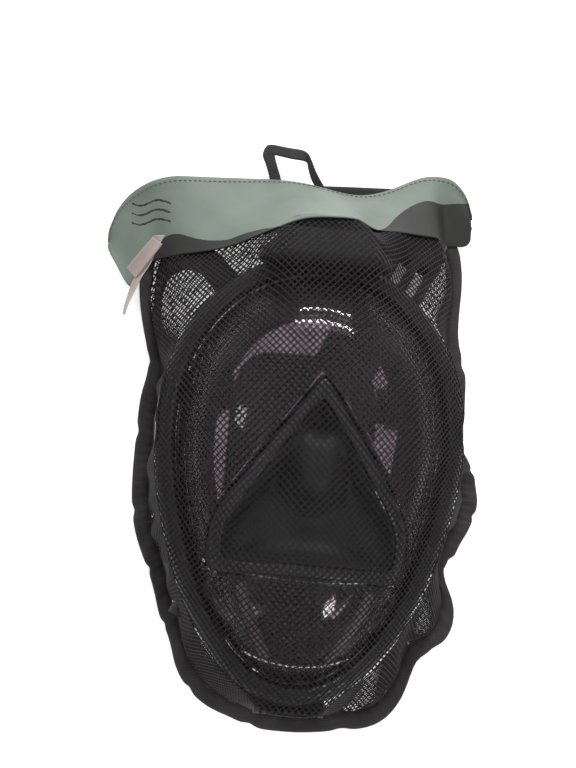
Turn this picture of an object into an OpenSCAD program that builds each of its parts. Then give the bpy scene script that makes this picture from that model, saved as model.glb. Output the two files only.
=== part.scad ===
// Full-face snorkel mask packed in its mesh carry bag, lying on its back.
// X runs across the mask, Y from chin to forehead, Z from the bag's back up through the lens.
// Lengths are millimetres and angles are degrees.

/* [Mask] */
// Half of the visor lens's width
lens_half_w = 77; // [72:1:80]
// From the mask's centre to the top of the lens
lens_top = 109; // [104:1:112]
// From the mask's centre to the chin end of the lens
lens_bottom = 128; // [122:1:130]
// How far the lens bulges in front of its rim
lens_rise = 44; // [36:1:46]
// Wall of the lens
lens_wall = 2.4; // [2:0.1:3]
// Width of the frame around the lens
frame_w = 12; // [9:1:13]
// Height of the frame's back above the surface that the bag lies on
frame_z = 46; // [44:1:50]
// Depth of the frame from back to front
frame_depth = 12; // [10:1:14]
// Wall of the silicone face skirt
skirt_wall = 2; // [1.6:0.1:2.6]

/* [Snorkel] */
// Length of the snorkel's straight tube
tube_len = 178; // [150:1:180]
// Width of the tube
tube_w = 38; // [34:1:40]
// Thickness of the tube
tube_t = 22; // [18:1:22]
// Angle between the stored snorkel and the mask's centre line
snorkel_lean = 25; // [20:1:27]

/* [Harness] */
// Width of each strap
strap_w = 22; // [18:1:24]
// Thickness of each strap
strap_t = 1.2; // [1:0.1:1.4]

/* [Bag] */
// Highest point of the net above the surface
bag_height = 112; // [110:1:118]
// Turn of the bag about the mask inside it
bag_turn = 4.7; // [0:0.1:6]
// Width of the woven edge tape
tape_w = 11; // [8:1:12]
// Thickness of the coated header fabric
header_t = 1.2; // [0.8:0.1:1.6]
// Width of the hang loop's webbing
webbing_w = 7; // [6:1:8]

/* [Hidden] */

$fn = 48;
gap = 0.3;
loop_cols = 64;

// Where the mask's centre stands from the middle of the whole packed object.
centre = [7.9, -21.68];

// The lens and frame are eggs: wider at the eyes than at the chin.
egg_taper = 0.1;
frame_half_w = lens_half_w + 1 + frame_w;
frame_top = lens_top + 1 + frame_w;
frame_bottom = lens_bottom + 1 + frame_w;
frame_front_z = frame_z + frame_depth;

// The nose opening is a triangle with cut corners, given as the distance and
// direction of each side from its own middle.
nose_middle = [0, -20];
nose_sides = [[37, 34], [37, 146], [57, 0], [57, 180], [50, -90]];
nose_rounding = 16;
nose_trim_w = 8;

// Bag rim: a tall rounded outline, pushed in and out by folds [direction, change, spread].
bag_side = 101;
bag_top = 168;
bag_bottom = 160;
bag_folds = [
  [0, 6, 16], [14, -6, 5], [-10, 8, 12], [-31, -9, 4], [-42, 15, 11], [-54, -5, 4], [-66, 12, 10],
  [46, -9, 8], [132, 12, 12], [150, -5, 8], [226, -10, 16], [238, -4, 4], [259, -2, 5]
];

back_t = 0.8;
tape_t = 1.6;
strip_t = 0.75;

// The header in the bag's own directions, from the mask's centre.
header_x = [-118, 110];
header_top = 180.5;
header_bottom = 140;
header_hem_z = 4;

strap_z = 3.2;
pad_half = [46, 66];
upper_strap = [80, 42];
lower_strap = [71, -58];

socket_z = 62;
chin_valve_at = [0, -98, 62];
inhale_valve_at = [27, -30, 62];
inhale_valve_tilt = 32;
cup_at = [0, -50];

snorkel_tip = [63, 151];
base_len = 44;
cage_len = 45;
cap_len = 12;
spigot_len = 16;
snorkel_len = base_len + tube_len + cage_len + cap_len;
snorkel_z = 16;

function mix(a, b, f) = a + (b - a) * f;
function clamp(f) = min(1, max(0, f));
function smooth(f) = clamp(f) * clamp(f) * (3 - 2 * clamp(f));
function turned(p, a) = [p.x * cos(a) - p.y * sin(a), p.x * sin(a) + p.y * cos(a)];
function polar(r, t) = [r * cos(t), r * sin(t)];
function wrap_angle(a) = a - 360 * floor((a + 180) / 360);

// Distance from the centre to an egg's edge in direction t.
function egg_r(t, half_w, top, bottom) =
  let (w = half_w * (1 + egg_taper * sin(t)), h = sin(t) > 0 ? top : bottom)
  1 / norm([cos(t) / w, sin(t) / h]);

// The lens outline grown outwards by `out`.
function mask_r(t, out) = egg_r(t, lens_half_w + out, lens_top + out, lens_bottom + out);

// The lens's front surface above any point of the mask.
function lens_z(p) =
  let (t = atan2(p.y, p.x), r = min(1, norm(p) / mask_r(t, 0)))
  frame_front_z - 4 + (lens_rise + 2) * pow(1 - pow(r, 3), 0.6);

// The nose opening's outline, moved inwards by `inset`.
function nose_point(t, inset) =
  let (s = [for (side = nose_sides) pow(max(0, cos(t - side[1])) / (side[0] - inset), nose_rounding)])
  nose_middle + polar(pow([for (v = s) 1] * s, -1 / nose_rounding), t);

// The bag's rim in direction t from the mask's centre.
function fold(t, f) = f[1] * exp(-pow(wrap_angle(t - f[0]) / f[2], 2));
function bag_r(t) =
  let (
    h = sin(t) > 0 ? bag_top : bag_bottom,
    n = sin(t) > 0 ? mix(2.3, 6, smooth(sin(t) * 2)) : 2.3,
    base = pow(pow(abs(cos(t)) / bag_side, n) + pow(abs(sin(t)) / h, n), -1 / n),
    folds = [for (f = bag_folds) fold(t, f)]
  )
  base + [for (f = folds) 1] * folds;

// Height of the net's outer face, box-like at the sides and sloping at the header.
function net_z(p) =
  let (
    t = atan2(p.y, p.x),
    r = clamp(norm(p) / (bag_r(t) - 3)),
    slope = smooth((sin(t) - 0.3) / 0.4),
    n = mix(4, 3.8, slope),
    m = mix(3, 1.9, slope)
  )
  2.6 + (bag_height - 2.6) * pow(1 - pow(r, n), 1 / m);

// A closed solid between two grids of points. Rows run outwards or along +X and
// columns run anticlockwise or along +Y; a disc closes its first row.
module sheet(top, bottom, around = false, disc = false) {
  rows = len(top);
  cols = len(top[0]);
  count = rows * cols;
  last = around ? cols - 1 : cols - 2;
  function up(i, j) = i * cols + j % cols;
  function down(i, j) = count + up(i, j);
  skins = [
    for (i = [0:rows - 2], j = [0:last], side = [0, 1])
      side == 0
        ? [up(i, j), up(i, j + 1), up(i + 1, j + 1), up(i + 1, j)]
        : [down(i, j), down(i + 1, j), down(i + 1, j + 1), down(i, j + 1)]
  ];
  outer_edge = [
    for (j = [0:last]) [up(rows - 1, j), up(rows - 1, j + 1), down(rows - 1, j + 1), down(rows - 1, j)]
  ];
  inner_edge = disc
    ? [[for (j = [cols - 1:-1:0]) up(0, j)], [for (j = [0:cols - 1]) down(0, j)]]
    : [for (j = [0:last]) [up(0, j + 1), up(0, j), down(0, j), down(0, j + 1)]];
  ends = around ? [] : [
    for (i = [0:rows - 2], side = [0, 1])
      side == 0
        ? [up(i, 0), up(i + 1, 0), down(i + 1, 0), down(i, 0)]
        : [up(i + 1, cols - 1), up(i, cols - 1), down(i, cols - 1), down(i + 1, cols - 1)]
  ];
  polyhedron(
    points = concat([for (row = top) each row], [for (row = bottom) each row]),
    faces = concat(skins, outer_edge, inner_edge, ends),
    convexity = 6
  );
}

module at_mask(z = 0) {
  translate([centre.x, centre.y, z]) children();
}

// Places children both sides: side is 1 for the mask's +X side and -1 for the other.
module on_side(side) {
  if (side > 0) children();
  if (side < 0) mirror([1, 0, 0]) children();
}

module rounded(w, h, r) {
  square([w - 2 * r, h], center = true);
  square([w, h - 2 * r], center = true);
  for (x = [-1, 1], y = [-1, 1])
    translate([x * (w / 2 - r), y * (h / 2 - r)]) circle(r);
}

function bag_outline(inset, cols = 120) =
  [for (j = [0:cols - 1]) polar(bag_r(j * 360 / cols) - inset, j * 360 / cols)];

// ---- Bag ----
module bag_back_net() {
  color("dimgray") at_mask() linear_extrude(back_t) polygon(bag_outline(0.5));
}

module bag_edge_tape() {
  color("gray") at_mask(back_t) linear_extrude(tape_t) difference() {
    polygon(bag_outline(0));
    polygon(bag_outline(tape_w));
  }
}

// The front net is one cloth, in two solids that meet part of the way out.
module net_zone(levels, disc) {
  wall = 0.8;
  function net_point(level, t) =
    let (p = polar((bag_r(t) - 3) * level, t)) [p.x, p.y, net_z(p)];
  top = [for (level = levels) [for (j = [0:loop_cols - 1]) net_point(level, j * 360 / loop_cols)]];
  bottom = [
    for (row = top) [for (p = row) [p.x * (1 - wall / 90), p.y * (1 - wall / 90), max(2.5, p.z - wall)]]
  ];
  color("black") at_mask() sheet(top, bottom, around = true, disc = disc);
}

module bag_front_net() {
  net_zone([0.06, 0.3, 0.5, 0.66, 0.79], true);
}

module bag_front_net_sides() {
  net_zone([0.79, 0.88, 0.94, 0.975, 0.992, 1], false);
}

// The header band follows the net's slope and runs out past the rim to a flat hem.
// Share of a rounded corner's drop, from 0 where it starts to 1 at its end.
function corner(share) = 1 - sqrt(1 - pow(clamp(share), 2));

function header_high(x) =
  let (
    dip = 9 * exp(-pow((x - 38) / 30, 2)),
    crest = 5.5 * exp(-pow((x - 84) / 20, 2)),
    left_corner = 42 * corner((-73 - x) / 45),
    right_corner = 22 * corner((x - 94) / 16)
  )
  header_top - dip + crest - left_corner - right_corner;

function header_low(x) =
  let (
    step = 13 * smooth((10 - x) / 75),
    lobe = 17 * exp(-pow((x + 104) / 8, 2)),
    left_end = 10 * corner((-108 - x) / 10),
    right_end = 6 * corner((x - 104) / 6)
  )
  header_bottom - step - lobe + left_end + right_end;

function header_point(x, v, lift) =
  let (p = turned([x, mix(header_low(x), header_high(x), v)], bag_turn))
  [p.x, p.y, max(header_hem_z, net_z(p * 0.975) + lift)];

module header_front() {
  function grid(lift) = [
    for (i = [0:38])
      let (x = mix(header_x[0], header_x[1], 0.5 - cos(i * 180 / 38) / 2))
      [for (v = [0, 0.15, 0.3, 0.45, 0.58, 0.7, 0.8, 0.9, 1]) header_point(x, v, lift)]
  ];
  top = grid(1.4 + header_t);
  bottom = [for (row = top) [for (p = row) [p.x, p.y, p.z - header_t]]];
  color("darkseagreen") at_mask() sheet(top, bottom);
}

module header_back() {
  color("dimgray") at_mask() linear_extrude(header_t) difference() {
    rotate(bag_turn) translate([4, 160.5]) rounded(206, 33, 12);
    polygon(bag_outline(-0.3));
  }
}

module closure_strip(z, shade) {
  color(shade) at_mask(z) linear_extrude(strip_t) rotate(bag_turn) translate([-54, 174.4])
    rounded(64, 4.6, 2);
}

module closure_hook_strip() {
  closure_strip(header_t, "black");
}

module closure_loop_strip() {
  closure_strip(header_t + strip_t, "dimgray");
}

module hang_loop() {
  inner = [22, 17];
  color("dimgray") at_mask(header_t) rotate([0, 0, bag_turn]) translate([0.7, 187.5, 0]) linear_extrude(1.4)
    difference() {
      rounded(inner.x + 2 * webbing_w, inner.y + 2 * webbing_w, 6);
      rounded(inner.x, inner.y, 3);
    }
}

// A label sewn in at the header's corner, hanging down over the bag's side.
module label(from, to, width, inner) {
  across = turned((to - from) / norm(to - from), -90) * width / 2;
  top = [
    for (u = [0:0.125:1]) [
      for (v = [-1:0.5:1])
        let (p = turned(mix(from, to, u) - across * v, bag_turn)) [p.x, p.y, max(3, net_z(p * inner)) + 4]
    ]
  ];
  at_mask() sheet(top, [for (row = top) [for (p = row) [p.x, p.y, p.z - 0.5]]]);
}

module care_label() {
  color("linen") label([-86, 131], [-109, 94], 13, 0.955);
}

module care_label_flap() {
  color("white") label([-94, 132], [-110, 112], 14, 0.92);
}

// ---- Mask shell ----
module visor_lens() {
  levels = [0, 0.25, 0.5, 0.7, 0.85, 0.95, 1];
  function lens_point(level, t) =
    let (edge = polar(mask_r(t, 0), t), p = mix(nose_point(t, 0), edge, level))
    [p.x, p.y, lens_z(p)];
  top = [for (level = levels) [for (j = [0:loop_cols - 1]) lens_point(level, j * 360 / loop_cols)]];
  bottom = [
    for (i = [0:len(levels) - 1]) [
      for (p = top[i])
        let (s = 1 - levels[i] * lens_wall / lens_half_w) [p.x * s, p.y * s, p.z - lens_wall]
    ]
  ];
  color("dimgray", 0.5) at_mask() sheet(top, bottom, around = true);
}

// A closed ring around the mask: rows of [outward distance from the lens edge, top z, bottom z].
module mask_ring(rows) {
  function ring(r, z) = [
    for (j = [0:loop_cols - 1])
      let (t = j * 360 / loop_cols, p = polar(mask_r(t, r), t)) [p.x, p.y, z]
  ];
  at_mask() sheet([for (r = rows) ring(r[0], r[1])], [for (r = rows) ring(r[0], r[2])], around = true);
}

module visor_frame() {
  edge = 3;
  color("black") mask_ring([
    [1, frame_front_z - 1, frame_z], [1 + edge, frame_front_z + 1, frame_z],
    [frame_w - edge, frame_front_z, frame_z], [1 + frame_w, frame_front_z - edge - 1, frame_z + edge]
  ]);
}

module lens_seal() {
  color("dimgray") mask_ring([
    [-3, frame_front_z - 7.5, frame_z + 0.6], [0.6, frame_front_z - 7.5, frame_z + 0.6]
  ]);
}

module forehead_housing() {
  ball = 5;
  color("black") at_mask() difference() {
    hull() {
      for (x = [-1, 1]) {
        translate([x * 36, 116, 64]) sphere(ball, $fn = 24);
        translate([x * 27, 116, 75]) sphere(ball, $fn = 24);
        translate([x * 22, 132, 59]) sphere(ball, $fn = 24);
        translate([x * 20, 130, 70]) sphere(ball, $fn = 24);
      }
    }
    translate([0, 150, socket_z]) rotate([90, 0, 0]) linear_extrude(30) rounded(44.4, 18.4, 8);
  }
}

module socket_collar() {
  color("dimgray") at_mask() translate([0, 138.4, socket_z]) rotate([90, 0, 0]) {
    linear_extrude(16) difference() {
      rounded(44, 18, 7.8);
      rounded(39, 14, 6);
    }
    translate([0, 0, 10]) linear_extrude(5) for (x = [-8, 8]) translate([x, 0]) square([1.6, 14.4], center = true);
  }
}

module socket_gasket() {
  color("black") at_mask() translate([0, 140.6, socket_z]) rotate([90, 0, 0]) linear_extrude(2) difference() {
    rounded(43, 17, 7.4);
    rounded(38, 13, 5.6);
  }
}

// ---- Nose pocket ----
function nose_sheet(insets, lift, wall) = [
  for (i = insets) [
    for (j = [0:loop_cols - 1])
      let (p = nose_point(j * 360 / loop_cols, i)) [p.x, p.y, lens_z(p) + lift - wall]
  ]
];

module nose_pocket_trim() {
  rows = [nose_trim_w, nose_trim_w / 2, 0.6];
  color("black") at_mask() sheet(nose_sheet(rows, 1.4, 0), nose_sheet(rows, 1.4, 4.4), around = true);
}

module nose_pocket() {
  depth = 15;
  bump = [0, -8];
  wall = 1.8;
  inset = nose_trim_w + 0.4;
  levels = [0.08, 0.25, 0.42, 0.58, 0.74, 0.88, 1];
  function pocket_point(level, t) =
    let (
      p = mix(nose_middle, nose_point(t, inset), level),
      d = norm([(p.x - bump.x) / 17, (p.y - bump.y) / 24])
    )
    [p.x, p.y, lens_z(p) - 1 - depth * (1 - pow(level, 4)) + (depth + 2) * exp(-pow(d, 4))];
  top = [for (level = levels) [for (j = [0:loop_cols - 1]) pocket_point(level, j * 360 / loop_cols)]];
  bottom = [for (row = top) [for (p = row) [p.x, p.y, p.z - wall]]];
  color("black") at_mask() sheet(top, bottom, around = true, disc = true);
}

// ---- Face side ----
module face_skirt() {
  // The seal edge dips at the temples and lifts at forehead and chin, over the stored snorkel.
  function seal_z(t) = 14 + 20 * smooth(abs(sin(t)) / 0.55);
  rows = [[0, 1], [-4, 0.7], [-6, 0.35], [-9, 0.08], [-15, 0], [-21, 0.12]];
  function skirt_point(row, t, drop) =
    let (p = polar(mask_r(t, row[0]), t)) [p.x, p.y, mix(seal_z(t), frame_z - gap, row[1]) - drop];
  function skirt_rows(drop, out) = [
    for (i = [len(rows) - 1:-1:0]) [
      for (j = [0:loop_cols - 1])
        skirt_point([rows[i][0] + (i < 3 ? out : 0), rows[i][1]], j * 360 / loop_cols, i < 3 ? 0 : drop)
    ]
  ];
  color("dimgray") at_mask() sheet(skirt_rows(0, -skirt_wall), skirt_rows(skirt_wall, 0), around = true);
}

module exhale_duct(side) {
  function duct_row(r, z) = [
    for (a = [-38:6:64]) let (p = polar(mask_r(a, r), a)) [p.x, p.y, z]
  ];
  top = [duct_row(-16, 53), duct_row(-14, 56), duct_row(-8, 56), duct_row(-6, 53)];
  bottom = [duct_row(-16, 49), duct_row(-14, 47), duct_row(-8, 47), duct_row(-6, 49)];
  color("black") at_mask() on_side(side) sheet(top, bottom);
}

module exhale_duct_left() {
  exhale_duct(-1);
}

module exhale_duct_right() {
  exhale_duct(1);
}

module oronasal_cup() {
  levels = [0.08, 0.3, 0.5, 0.68, 0.82, 0.92, 1];
  wall = 1.8;
  cols = 40;
  function cup_point(level, t) =
    let (r = egg_r(t, 44, 42, 46) * level, p = cup_at + polar(r, t))
    [p.x, p.y, 36 + 34 * pow(1 - pow(level, 3), 0.6)];
  top = [for (level = levels) [for (j = [0:cols - 1]) cup_point(level, j * 360 / cols)]];
  bottom = [
    for (i = [0:len(levels) - 1]) [
      for (p = top[i])
        let (s = 1 - levels[i] * wall / 44)
        [cup_at.x + (p.x - cup_at.x) * s, cup_at.y + (p.y - cup_at.y) * s, p.z - wall * (1 - pow(levels[i], 8))]
    ]
  ];
  color("gray") difference() {
    at_mask() sheet(top, bottom, around = true, disc = true);
    for (side = [-1, 1]) at_inhale_valve(side) cylinder(24, r = 10.6, center = true);
  }
}

// ---- Valves ----
module valve_seat(outer_r, inner_r, height) {
  difference() {
    cylinder(height, r = outer_r, center = true);
    cylinder(height + 2, r = inner_r, center = true);
  }
  intersection() {
    cylinder(height, r = inner_r + 0.5, center = true);
    for (a = [0, 90]) rotate(a) translate([0, 0, 0.8]) cube([2 * outer_r, 1.6, 1.6], center = true);
  }
}

module valve_flap(inner_r) {
  translate([0, 0, -1.4]) cylinder(0.9, r = inner_r - 0.4);
}

module at_inhale_valve(side) {
  at_mask() on_side(side) translate(inhale_valve_at) rotate([0, inhale_valve_tilt, 0]) children();
}

module inhale_valve_seat_left() {
  color("white") at_inhale_valve(-1) valve_seat(10.5, 8.5, 8);
}

module inhale_valve_seat_right() {
  color("white") at_inhale_valve(1) valve_seat(10.5, 8.5, 8);
}

module inhale_valve_flap_left() {
  color("gainsboro") at_inhale_valve(-1) valve_flap(8.5);
}

module inhale_valve_flap_right() {
  color("gainsboro") at_inhale_valve(1) valve_flap(8.5);
}

module chin_bulkhead() {
  color("dimgray") at_mask(57) linear_extrude(2) difference() {
    translate([0, -100.7]) rounded(50, 25.4, 12);
    translate([chin_valve_at.x, chin_valve_at.y]) circle(11.3);
  }
}

module chin_valve_seat() {
  color("gray") at_mask() translate(chin_valve_at) {
    valve_seat(11, 9, 9);
    translate([0, 0, -2.8]) difference() {
      cylinder(1.5, r = 12.6);
      translate([0, 0, -1]) cylinder(4, r = 10);
    }
  }
}

module chin_valve_flap() {
  color("gainsboro") at_mask() translate(chin_valve_at) rotate([180, 0, 0]) translate([0, 0, -1.6]) valve_flap(9);
}

module chin_valve_cover() {
  color("black") at_mask() translate(chin_valve_at + [0, 0, 4.8]) {
    difference() {
      cylinder(4.4, r = 12.8);
      translate([0, 0, -1]) cylinder(4, r = 11.4);
      for (x = [-8:4:8]) translate([x, 0, 4]) cube([1.8, 15, 6], center = true);
    }
  }
}

module chin_drain_cover() {
  color("black") at_mask() difference() {
    translate([0, -144, 49]) rotate([0, 90, 0]) linear_extrude(40, center = true) rounded(8, 5, 2);
    for (x = [-16:4:16]) translate([x, -145.5, 53]) cube([1.8, 6, 4], center = true);
  }
}

// ---- Harness ----
module strap_anchor(at, side) {
  color("black") at_mask() on_side(side) translate([at.x + strap_t / 2, at.y, 41]) difference() {
    cube([7, strap_w + 5, 9.4], center = true);
    translate([0, 0, -3]) cube([strap_t + 0.6, strap_w + 0.6, 9], center = true);
  }
}

// A strap leaves the back pad, runs outwards and turns up beside the skirt into its anchor.
module strap(at, side) {
  bend = 8;
  color("dimgray") at_mask() on_side(side) translate([0, at.y + strap_w / 2, 0]) rotate([90, 0, 0])
    linear_extrude(strap_w) {
      translate([pad_half.x, strap_z]) square([at.x + strap_t - bend - pad_half.x, strap_t]);
      translate([at.x, strap_z + bend]) square([strap_t, 42 - strap_z - bend]);
      translate([at.x + strap_t - bend, strap_z + bend]) intersection() {
        difference() {
          circle(bend);
          circle(bend - strap_t);
        }
        translate([0, -bend]) square(bend);
      }
    }
}

module strap_anchor_upper_left() {
  strap_anchor(upper_strap, -1);
}

module strap_anchor_upper_right() {
  strap_anchor(upper_strap, 1);
}

module strap_anchor_lower_left() {
  strap_anchor(lower_strap, -1);
}

module strap_anchor_lower_right() {
  strap_anchor(lower_strap, 1);
}

module strap_upper_left() {
  strap(upper_strap, -1);
}

module strap_upper_right() {
  strap(upper_strap, 1);
}

module strap_lower_left() {
  strap(lower_strap, -1);
}

module strap_lower_right() {
  strap(lower_strap, 1);
}

module strap_slider(side) {
  height = 4.2;
  color("black") at_mask() on_side(side) translate([upper_strap.x - 24, upper_strap.y, strap_z + strap_t / 2])
    difference() {
      cube([9, strap_w + 6, height], center = true);
      cube([11, strap_w + 1, strap_t + 0.8], center = true);
    }
}

module strap_slider_left() {
  strap_slider(-1);
}

module strap_slider_right() {
  strap_slider(1);
}

module strap_back_pad() {
  color("black") at_mask(1.5) linear_extrude(3) rounded(2 * pad_half.x, 2 * pad_half.y + 8, 10);
}

// ---- Snorkel ----
// Children are drawn along +Z from the base's end, X across the tube's width and Y its thickness.
module along_snorkel(s = 0) {
  foot = snorkel_tip - snorkel_len * [sin(snorkel_lean), cos(snorkel_lean)];
  at_mask(snorkel_z) translate([foot.x, foot.y, 0]) rotate([-90, 0, -snorkel_lean])
    translate([0, 0, s]) rotate([0, 0, 180]) children();
}

// Three parallel channels: fresh air down the middle and used air up the sides.
module channels(w, t, wall, rib) {
  middle = w * 0.4;
  side = (w - 2 * wall - middle - 2 * rib) / 2;
  square([middle, t - 2 * wall], center = true);
  for (x = [-1, 1])
    translate([x * (middle / 2 + rib + side / 2), 0]) rounded(side, t - 2 * wall, 2.5);
}

module snorkel_tube() {
  color("black") along_snorkel(base_len) linear_extrude(tube_len) difference() {
    rounded(tube_w, tube_t, 8);
    channels(tube_w, tube_t, 2.2, 1.6);
  }
}

module snorkel_base() {
  body_w = tube_w + 4;
  color("black") along_snorkel() difference() {
    union() {
      linear_extrude(spigot_len + 1) rounded(38.4, 13.4, 5.8);
      translate([0, 0, spigot_len]) linear_extrude(base_len - spigot_len) rounded(body_w, tube_t, 8);
    }
    translate([0, 0, -1]) linear_extrude(base_len + 2) channels(34, 13, 1.8, 1.6);
    translate([0, 0, 6]) linear_extrude(3.4) difference() {
      square([60, 40], center = true);
      rounded(36.4, 11.4, 4.8);
    }
    translate([0, tube_t / 2, 31]) cube([14.8, 7, 10.8], center = true);
  }
}

module snorkel_base_seal() {
  color("dimgray") along_snorkel(6.2) linear_extrude(3) difference() {
    rounded(39, 14, 6);
    rounded(36.6, 11.6, 4.9);
  }
}

module snorkel_release_button() {
  color("gray") along_snorkel(31) translate([0, tube_t / 2 - 0.4, 0]) cube([14, 2.6, 10], center = true);
}

module dry_top_cage() {
  color("black") along_snorkel(base_len + tube_len) difference() {
    linear_extrude(cage_len) rounded(tube_w + 5, tube_t, 8);
    translate([0, 0, 5]) linear_extrude(cage_len) rounded(tube_w, tube_t - 5, 5.5);
    translate([0, 0, -1]) linear_extrude(8) channels(34, 15, 1.8, 1.6);
    for (z = [18:8:34]) translate([0, 0, z]) cube([60, 9, 4], center = true);
    for (x = [-12, 0, 12]) translate([x, 0, 26]) cube([6, 40, 22], center = true);
  }
}

module dry_top_seal() {
  color("dimgray") along_snorkel(base_len + tube_len + 5.1) linear_extrude(1.6) difference() {
    rounded(tube_w - 1, tube_t - 6, 5);
    channels(32, 13, 1.8, 2);
  }
}

module dry_top_float() {
  color("white") along_snorkel(base_len + tube_len + 7) linear_extrude(24)
    rounded(tube_w - 4, tube_t - 8, 4);
}

module dry_top_cap() {
  color("black") along_snorkel(base_len + tube_len + cage_len) {
    linear_extrude(cap_len / 2) rounded(tube_w + 5, tube_t, 8);
    translate([0, 0, cap_len / 2]) linear_extrude(cap_len / 2) rounded(tube_w, tube_t - 5, 7);
  }
}

bag_back_net();
bag_edge_tape();
bag_front_net();
bag_front_net_sides();
header_back();
header_front();
closure_hook_strip();
closure_loop_strip();
hang_loop();
care_label();
care_label_flap();
visor_lens();
visor_frame();
lens_seal();
forehead_housing();
socket_collar();
socket_gasket();
nose_pocket();
nose_pocket_trim();
face_skirt();
exhale_duct_left();
exhale_duct_right();
oronasal_cup();
inhale_valve_seat_left();
inhale_valve_seat_right();
inhale_valve_flap_left();
inhale_valve_flap_right();
chin_bulkhead();
chin_valve_seat();
chin_valve_flap();
chin_valve_cover();
chin_drain_cover();
strap_anchor_upper_left();
strap_anchor_upper_right();
strap_anchor_lower_left();
strap_anchor_lower_right();
strap_upper_left();
strap_upper_right();
strap_lower_left();
strap_lower_right();
strap_slider_left();
strap_slider_right();
strap_back_pad();
snorkel_tube();
snorkel_base();
snorkel_base_seal();
snorkel_release_button();
dry_top_cage();
dry_top_float();
dry_top_seal();
dry_top_cap();
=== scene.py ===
"""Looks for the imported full-face snorkel mask: the draped carry bag, the mask under it and its materials."""
from math import atan2, cos, exp, pi, radians, sin

import bpy
import numpy as np
from mathutils import Matrix, Vector
from mathutils.bvhtree import BVHTree


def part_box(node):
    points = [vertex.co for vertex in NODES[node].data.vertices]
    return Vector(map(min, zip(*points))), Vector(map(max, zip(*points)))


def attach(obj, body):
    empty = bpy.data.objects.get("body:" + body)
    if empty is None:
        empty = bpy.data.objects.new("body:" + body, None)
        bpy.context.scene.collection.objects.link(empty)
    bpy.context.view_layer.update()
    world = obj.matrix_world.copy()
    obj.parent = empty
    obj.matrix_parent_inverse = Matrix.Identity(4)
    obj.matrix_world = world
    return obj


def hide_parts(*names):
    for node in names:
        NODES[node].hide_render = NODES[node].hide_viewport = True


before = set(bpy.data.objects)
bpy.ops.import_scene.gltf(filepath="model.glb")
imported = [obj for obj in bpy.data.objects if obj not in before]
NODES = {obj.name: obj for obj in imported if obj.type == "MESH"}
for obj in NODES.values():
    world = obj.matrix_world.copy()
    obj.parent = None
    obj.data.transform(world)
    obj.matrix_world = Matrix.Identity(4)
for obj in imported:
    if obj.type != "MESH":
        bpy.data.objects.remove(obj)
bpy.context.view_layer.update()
ROOT = "packed_mask"
MM = 0.001

# Driving sizes in millimetres, as the CAD has them.
LENS_HALF_W, LENS_TOP, LENS_BOTTOM, LENS_WALL = 77, 109, 128, 2.4
LENS_RIM_Z, LENS_RISE = 54, 46
FRAME_Z = 46
BAG_TURN = radians(4.7)
TAPE_W = 11
HEADER_LEFT, HEADER_RIGHT, HEADER_HEM_Z = -118, 110, 4

lens_low, lens_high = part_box("visor_lens")
CENTRE = np.array([(lens_low[0] + lens_high[0]) / 2 / MM, lens_high[1] / MM - LENS_TOP])


# ---------------------------------------------------------------- shapes
def smooth(x):
    x = np.clip(x, 0, 1)
    return x * x * (3 - 2 * x)


def turned(p, angle):
    p = np.asarray(p, float)
    c, s = cos(angle), sin(angle)
    return np.stack([p[..., 0] * c - p[..., 1] * s, p[..., 0] * s + p[..., 1] * c], -1)


def egg_r(t, half_w, top, bottom):
    """Distance from an egg's centre to its edge in direction t, in radians."""
    width = half_w * (1 + 0.1 * np.sin(t))
    height = np.where(np.sin(t) > 0, top, bottom)
    return 1 / np.hypot(np.cos(t) / width, np.sin(t) / height)


def mask_r(t, out=0.0):
    return egg_r(t, LENS_HALF_W + out, LENS_TOP + out, LENS_BOTTOM + out)


def lens_z(x, y):
    """Height of the lens's front over the mask."""
    share = np.minimum(1, np.hypot(x, y) / mask_r(np.arctan2(y, x)))
    return LENS_RIM_Z + LENS_RISE * (1 - share**3) ** 0.6


NOSE_TRIM_W = 8
NOSE_MIDDLE = np.array([0.0, -20.0])
NOSE_SIDES = [(37, 34), (37, 146), (57, 0), (57, 180), (50, -90)]


def nose_point(t, inset):
    """The nose opening's outline, moved inwards by inset."""
    total = sum((np.maximum(0, np.cos(t - radians(a))) / (d - inset)) ** 16 for d, a in NOSE_SIDES)
    r = total ** (-1 / 16)
    return NOSE_MIDDLE + np.stack([r * np.cos(t), r * np.sin(t)], -1)


def at_mask(points):
    """Points round the mask's centre, in millimetres, as points of the frame in metres."""
    points = np.array(points, float)
    points[..., 0] += CENTRE[0]
    points[..., 1] += CENTRE[1]
    return points * MM


# ---------------------------------------------------------------- mesh helpers
def piece(name, verts, faces, material, replaces=()):
    mesh = bpy.data.meshes.new(name)
    mesh.from_pydata(np.asarray(verts).reshape(-1, 3).tolist(), [], faces)
    mesh.polygons.foreach_set("use_smooth", [True] * len(mesh.polygons))
    mesh.update()
    obj = bpy.data.objects.new(name, mesh)
    bpy.context.scene.collection.objects.link(obj)
    obj.data.materials.append(material)
    finish_piece(obj, replaces)
    return obj


def finish_piece(obj, replaces):
    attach(obj, ROOT)
    if replaces:
        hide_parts(*replaces)


def quads(rows, cols, around=False, flip=False, offset=0):
    """Faces of a grid of points, rows by cols, closed in the column direction if around."""
    i, j = np.meshgrid(np.arange(rows - 1), np.arange(cols if around else cols - 1), indexing="ij")
    a = i * cols + j
    b = i * cols + (j + 1) % cols
    c, d = b + cols, a + cols
    f = np.stack([a, b, c, d] if not flip else [d, c, b, a], -1).reshape(-1, 4) + offset
    return f.tolist()


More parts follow.
